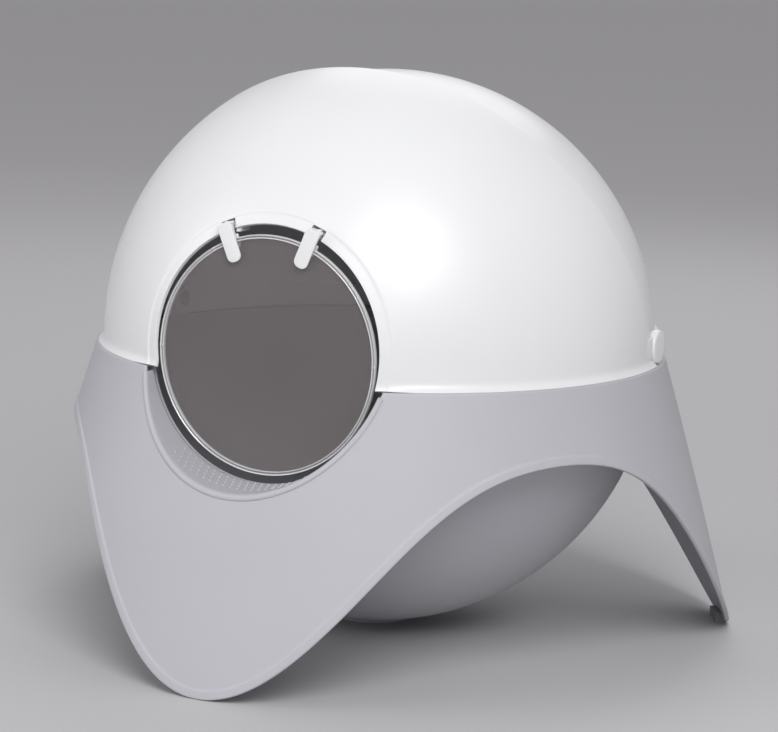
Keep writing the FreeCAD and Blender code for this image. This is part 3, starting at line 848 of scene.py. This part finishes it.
def subtract(obj, cutter):
    """Cut one closed mesh out of another and drop the cutter."""
    tool = obj.modifiers.new("cut", "BOOLEAN")
    tool.operation = "DIFFERENCE"
    tool.object = cutter
    tool.solver = "EXACT"
    settle(obj)
    bpy.data.objects.remove(cutter)


def cut_notch(visor, side):
    """Slot in the visor's edge, in which a clip hangs."""
    low = PORT_RADIUS - 8 * MM
    behind, before = 190 * MM, 245 * MM
    outline = rounded_rectangle(-NOTCH_HALF, NOTCH_HALF, low, NOTCH_TOP, 0.8 * MM, 3)
    subtract(visor, soft_slab("notch_cutter", outline, behind, before, 0.2 * MM, clip_place(side), 1))


def make_ear(side):
    """Round ear that carries the pivot, and the tongue that joins it to the visor.

    The ear's outline is (radius, distance outward), in millimetres, with a blind bore on its inside.
    """
    outline = [(0.0, 5.3), (3.0, 5.3), (4.05, 5.3), (4.05, 0.0), (13.9, 0.0), (14.7, 0.3), (15.0, 1.0),
               (15.0, 5.0), (14.8, 5.9), (14.2, 6.6), (13.2, 7.0), (10.0, 7.2), (5.0, 7.3), (0.0, 7.3)]
    outline = [(radius * MM, height * MM) for radius, height in outline]
    origin = Vector((side * EAR_INSIDE, PIVOT.y, PIVOT.z))
    boss = lathe("ear", outline, along_axis(origin, Vector((side, 0, 0))), 72)
    columns = []
    for share in spread(0, 1, 20):
        y = 8 * MM + (PIVOT.y - 20 * MM) * share
        half = (9.0 + 1.5 * ease(share)) * MM
        surface = math.sqrt(VISOR_RADIUS ** 2 - y ** 2)
        outer = surface - 0.5 * MM + (2.0 * MM) * ease(share)
        inner = EAR_INSIDE + 0.3 * MM
        column = []
        for turn in spread(0, 2 * math.pi, 41)[:-1]:
            c, s = math.cos(turn), math.sin(turn)
            along = math.copysign(abs(c) ** 0.45, c)
            rise = math.copysign(abs(s) ** 0.7, s)
            x = (inner + outer) / 2 + (outer - inner) / 2 * along
            column.append(Vector((side * x, y, PIVOT.z + half * rise)))
        columns.append(column)
    tongue = grid_object("ear_tongue", columns, close_rows=True, cap_columns=True)
    return [settle(boss), settle(tongue)]


def make_collar():
    """Upright wall with a rounded shoulder round the foot of the rear dome."""
    width = COLLAR_RADIUS - SHOULDER_RADIUS
    room_radius = EAR_RADIUS + 1.6 * MM
    room_depth = 30 * MM
    outside, inside = [], []
    steps = 12
    for inset, points in ((0.0, outside), (WALL, inside)):
        rise = SHOULDER_RISE - COLLAR_RISE - inset
        for step in range(steps + 1):
            turn = math.pi / 2 * step / steps
            points.append((SHOULDER_RADIUS - inset + width * math.cos(turn),
                           REAR_BOTTOM + COLLAR_RISE + rise * math.sin(turn)))
    edge = 0.5 * MM
    foot = [(COLLAR_RADIUS - WALL, REAR_BOTTOM), (COLLAR_RADIUS - edge, REAR_BOTTOM),
            (COLLAR_RADIUS - 0.15 * MM, REAR_BOTTOM + 0.15 * MM), (COLLAR_RADIUS, REAR_BOTTOM + edge)]
    ring = lathe("collar", foot + outside + inside[::-1], Matrix.Identity(4), 300)
    start = PARTING_POINT + parting_normal() * COLLAR_START
    lean = Matrix.Translation(start) @ Matrix.Rotation(PARTING_TILT, 4, "X")
    reach = 0.6
    corners = [(x, y, z) for x in (-reach, reach) for y in (-reach, 0) for z in (-reach, reach)]
    faces = [(0, 1, 3, 2), (4, 6, 7, 5), (0, 4, 5, 1), (2, 3, 7, 6), (0, 2, 6, 4), (1, 5, 7, 3)]
    front = new_object("front_room", [lean @ Vector(corner) for corner in corners], faces)
    clean(front)
    subtract(ring, front)
    for side in (-1, 1):
        origin = Vector((side * (EAR_INSIDE - 1 * MM), PIVOT.y, PIVOT.z))
        room = [(0.0, 0.0), (room_radius, 0.0), (room_radius, room_depth), (0.0, room_depth)]
        subtract(ring, lathe("ear_room", room, along_axis(origin, Vector((side, 0, 0))), 96))
    round_edges(ring, 0.7 * MM, 3, math.radians(50))
    return settle(ring)


def make_rear_hood():
    """Rear dome, its ridge under the visor's edge and its collar on the skirt."""
    normal = parting_normal()
    front_point = PARTING_POINT - normal * PARTING_LAP
    corner_y = front_point.y - math.tan(PARTING_TILT) * (REAR_BOTTOM - front_point.z)
    hinge = Vector((0, corner_y, REAR_BOTTOM))
    first_lean = math.pi / 2 + PARTING_TILT
    edge_rows = [0.0, 1.6, 3.1, 4.0, 5.0, 8.0]
    mean_reach = 230 * MM
    ridge_radius = VISOR_RADIUS - WALL - 0.8 * MM
    ridge_width, ridge_slope = 3.2 * MM, 1.5 * MM
    ridge_low, ridge_fade = 22 * MM, 14 * MM
    leans = [first_lean - distance * MM / mean_reach for distance in edge_rows]
    leans += spread(leans[-1], 0.0, 60)[1:]
    grid = []
    for share in spread(-1, 1, 110):
        column = []
        for lean in leans:
            along = Vector((0, math.cos(lean), math.sin(lean)))
            square = Vector((0, -math.sin(lean), math.cos(lean)))
            offset = (REAR_CENTRE - hinge).dot(along)
            radius = math.sqrt(REAR_RADIUS ** 2 - (REAR_CENTRE - hinge).dot(square) ** 2)
            limit = math.acos(-offset / radius)
            turn = limit * share
            reach = max(offset + radius * math.cos(turn), 0.0)
            spot = hinge + along * reach + X_AXIS * radius * math.sin(turn)
            behind = (spot - front_point).dot(normal)
            ridge = 1 - ease((behind - ridge_width) / ridge_slope)
            ridge *= ease((spot.z - REAR_BOTTOM - ridge_low) / ridge_fade)
            ray = spot - VISOR_CENTRE
            if ridge > 0 and ray.length < ridge_radius:
                spot += ray.normalized() * (ridge_radius - ray.length) * ridge
            column.append(spot)
        grid.append(column)
    hood = grid_object("rear_hood", grid)
    face_outward(hood, REAR_CENTRE)
    thicken(hood, WALL)
    round_edges(hood, 0.8 * MM)
    settle(hood)
    join(hood, [make_collar()])
    settle(hood)
    return dress(hood, "base", ["hood_rear"], WHITE)


# ---------------------------------------------------------------- door and its clips
def door_place():
    """Frame of the door: Z along its axis to the front."""
    return along_axis(Vector((0, -DOOR_FRONT, DOOR_HEIGHT)), -Y_AXIS)


def make_disc():
    """Clear sheet with a small polished edge."""
    half = DISC_SHEET / 2
    edge = 0.35 * MM
    outline = [(0.0, -half), (DISC_RADIUS - edge, -half), (DISC_RADIUS, -half + edge),
               (DISC_RADIUS, half - edge), (DISC_RADIUS - edge, half), (0.0, half)]
    disc = lathe("clear_disc", outline, door_place(), 180)
    settle(disc)
    return dress(disc, "door", ["door_disc"], CLEAR)


def make_trim():
    """Edge strip with two beads on each face, and the small joining nubs.

    The bead is (distance in from the edge, in millimetres; share of half the depth).
    """
    half = TRIM_DEPTH / 2
    outer = TRIM_RADIUS
    bead = [(0.0, 0.55), (0.12, 0.85), (0.45, 1.0), (0.8, 0.88), (1.1, 0.62), (1.6, 0.5), (2.3, 0.5),
            (2.6, 0.62), (2.85, 0.8), (3.15, 0.86), (3.4, 0.75), (3.5, 0.5)]
    front = [(outer - back * MM, half * rise) for back, rise in bead]
    back = [(radius, -height) for radius, height in front[::-1]]
    ring = lathe("disc_trim", front + back, door_place(), 200)
    settle(ring)
    nubs = []
    for angle in (90.0, -90.0, -31.0):
        turn = math.radians(angle)
        middle = outer - TRIM_WIDTH / 2
        spot = Vector((middle * math.sin(turn), -DOOR_FRONT, DOOR_HEIGHT + middle * math.cos(turn)))
        lean = Matrix.Translation(spot) @ Matrix.Rotation(turn, 4, "Y") @ Matrix.Rotation(math.pi / 2, 4, "X")
        outline = rounded_rectangle(-1.1 * MM, 1.1 * MM, -1.72 * MM, 1.74 * MM, 0.5 * MM, 4)
        nubs.append(settle(soft_slab("nub", outline, -half, half, 0.4 * MM, lean)))
    join(ring, nubs)
    settle(ring)
    return dress(ring, "door", ["door_edge_trim"], CLEAR_TRIM)


def clip_pin_matrix(side):
    """Frame of a clip's pin, with Z along the door's swing axis."""
    return along_axis(clip_place(side) @ Vector((0, CLIP_PIN_REACH, CLIP_PIN_FRONT)), X_AXIS)


def make_clip(side):
    """U-shaped clip: long front strap, short back strap, bridge, and hook and eye round the pin."""
    place = clip_place(side)
    half = CLIP_WIDTH / 2
    neck = CLIP_NECK / 2
    front_low = DOOR_FRONT + TRIM_DEPTH / 2
    front_high = front_low + CLIP_SHEET
    back_high = DOOR_FRONT - TRIM_DEPTH / 2
    back_low = back_high - CLIP_SHEET
    pin_back = CLIP_PIN_FRONT - 1 * MM
    inset = 0.05 * MM
    soft = 0.55 * MM
    less_soft = 0.4 * MM

    def bar(name, half_width, reach, low, high, corner):
        outline = rounded_rectangle(-half_width, half_width, *reach, corner, 3)
        return soft_slab(name, outline, low, high, less_soft, place)

    clip = soft_slab("clip_" + side_name(side), strap_outline(half, *CLIP_FRONT_STRAP), front_low,
                     front_high, soft, place)
    back = soft_slab("clip_back", strap_outline(half, *CLIP_BACK_STRAP), back_low, back_high, soft, place)
    tab = bar("clip_tab", neck, CLIP_TAB, back_low + inset, back_high - inset, 0.6 * MM)
    bridge = bar("clip_bridge", neck, CLIP_BRIDGE, pin_back, front_high - 0.5 * MM, 0.6 * MM)
    hook = bar("clip_hook", CLIP_HOOK_HALF, CLIP_HOOK, pin_back, front_high - 0.3 * MM, 0.5 * MM)
    bore, round_radius, outer_radius, edge = 1.55 * MM, 3.5 * MM, 4.0 * MM, 0.5 * MM
    eye_outline = [(bore, -neck), (round_radius, -neck), (outer_radius, -neck + edge),
                   (outer_radius, neck - edge), (round_radius, neck), (bore, neck)]
    eye = lathe("clip_eye", eye_outline, clip_pin_matrix(side), 40)
    join(clip, [back, tab, bridge, hook, eye])
    settle(clip)
    return dress(clip, "door", ["door_clip_" + side_name(side)], TRIM_WHITE)


def make_clip_pin(side):
    """Steel pin with chamfered ends, through the clip's eye."""
    half = 7.5 * MM
    radius = 1.45 * MM
    chamfer = 0.4 * MM
    outline = [(0.0, -half), (radius - chamfer, -half), (radius, -half + chamfer),
               (radius, half - chamfer), (radius - chamfer, half), (0.0, half)]
    rod = lathe("clip_pin", outline, clip_pin_matrix(side), 32)
    settle(rod)
    return dress(rod, "visor", ["clip_pin_" + side_name(side)], STEEL)


def strap_outline(half, low, high):
    """Strap with well-rounded lower corners and nearly square upper ones."""
    wide, tight = 5.4 * MM, 1.2 * MM
    steps = 8
    points = []
    corners = ((half, low, -90, wide), (half, high, 0, tight),
               (-half, high, 90, tight), (-half, low, 180, wide))
    for x, y, first, radius in corners:
        centre_x = x - math.copysign(radius, x)
        centre_y = y + (radius if y == low else -radius)
        for step in range(steps + 1):
            turn = math.radians(first + 90 * step / steps)
            points.append((centre_x + radius * math.cos(turn), centre_y + radius * math.sin(turn)))
    return points


# ---------------------------------------------------------------- the CAD pieces that stay
KEPT = (
    (RUBBER, ["foot_pad_front", "foot_pad_right", "foot_pad_left"]),
    (STEEL, ["hinge_pin_left", "hinge_pin_right"]),
    (TRIM_WHITE, ["hinge_bush_left", "hinge_bush_right", "clip_bracket_left", "clip_bracket_right"]),
)


def finish_cad_pieces():
    """Give the CAD's own meshes their finished materials."""
    for material, names in KEPT:
        for name in names:
            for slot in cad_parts[name].material_slots:
                slot.material = material


# ---------------------------------------------------------------- camera, floor and light
def make_camera():
    """Long lens, a little above the rim and to the right of the entry, turned slightly off the centre."""
    azimuth = math.radians(25.37)
    elevation = math.radians(9.02)
    distance = 2.5637
    lens_mm = 130.3153
    sensor_mm = 36
    target = Vector((0, 0, BOWL_HEIGHT))
    offset = Vector((math.sin(azimuth) * math.cos(elevation), -math.cos(azimuth) * math.cos(elevation),
                     math.sin(elevation))) * distance
    forward = -offset.normalized()
    right = Vector((math.cos(azimuth), math.sin(azimuth), 0))
    up = right.cross(forward)
    for axis_name, angle in (("up", -0.17), ("right", -0.37), ("forward", -1.89)):
        axis = {"up": up, "right": right, "forward": forward}[axis_name]
        turn = Matrix.Rotation(math.radians(angle), 3, axis)
        forward, right, up = turn @ forward, turn @ right, turn @ up
    data = bpy.data.cameras.new("camera")
    data.sensor_width = sensor_mm
    data.lens = lens_mm
    camera = bpy.data.objects.new("camera", data)
    bpy.context.scene.collection.objects.link(camera)
    pose = Matrix((right, up, -forward)).transposed().to_4x4()
    pose.translation = target + offset
    camera.matrix_world = pose
    bpy.context.scene.camera = camera


def floor_material():
    """Pale floor, painted lighter far away where less lamp light reaches it, so that it meets the sky without
    a line: painted light.
    """
    material, tree, shader = new_material("pale_floor")
    coordinates = node(tree, "ShaderNodeTexCoord")
    distance = node(tree, "ShaderNodeVectorMath", operation="LENGTH")
    reach = node(tree, "ShaderNodeMapRange")
    reach.inputs["From Min"].default_value = 0.8
    reach.inputs["From Max"].default_value = 4.0
    tree.links.new(coordinates.outputs["Object"], distance.inputs[0])
    tree.links.new(distance.outputs["Value"], reach.inputs["Value"])
    # Painted light: the colour lightens with distance from the object to make up for the lamps' fall-off.
    ramp = node(tree, "ShaderNodeValToRGB")
    ramp.color_ramp.elements[0].color = (0.56, 0.555, 0.565, 1)
    ramp.color_ramp.elements[1].color = (0.78, 0.77, 0.78, 1)
    tree.links.new(reach.outputs["Result"], ramp.inputs["Fac"])
    tree.links.new(ramp.outputs["Color"], shader.inputs["Base Color"])
    shader.inputs["Roughness"].default_value = 0.7
    return material


def make_floor():
    half = 60
    corners = [(-half, -half, 0), (half, -half, 0), (half, half, 0), (-half, half, 0)]
    floor = new_object("floor", corners, [(0, 1, 2, 3)])
    floor.data.materials.append(floor_material())


def area_light(name, place, aim, size, power):
    data = bpy.data.lights.new(name, "AREA")
    data.shape = "DISK"
    data.size = size
    data.energy = power
    light = bpy.data.objects.new(name, data)
    light.location = place
    light.rotation_euler = (Vector(aim) - Vector(place)).to_track_quat("-Z", "Y").to_euler()
    bpy.context.scene.collection.objects.link(light)


def make_lights():
    area_light("key", (1.3, -1.9, 2.2), (0.05, 0, 0.3), 2.0, 57)
    area_light("fill", (-2.4, -1.9, 1.4), (0, 0, 0.25), 2.2, 24)
    area_light("back", (-0.6, 2.2, 2.2), (0, 0, 0.3), 2.2, 15)
    world = bpy.data.worlds.new("studio")
    world.use_nodes = True
    shade = world.node_tree.nodes["Background"]
    shade.inputs["Color"].default_value = (0.34, 0.335, 0.345, 1)
    shade.inputs["Strength"].default_value = 1.0
    bpy.context.scene.world = world
    bpy.context.scene.view_settings.view_transform = "Standard"


# ---------------------------------------------------------------- the whole object
make_camera()
make_floor()
make_lights()
make_skirt()
tunnel = join(make_liner(), [grip_bumps()])
settle(tunnel)
dress(tunnel, "base", ["entry_liner"], GREY)
make_bowl()
make_visor()
make_rear_hood()
make_disc()
make_trim()
for clip_side in (-1, 1):
    make_clip(clip_side)
    make_clip_pin(clip_side)
finish_cad_pieces()
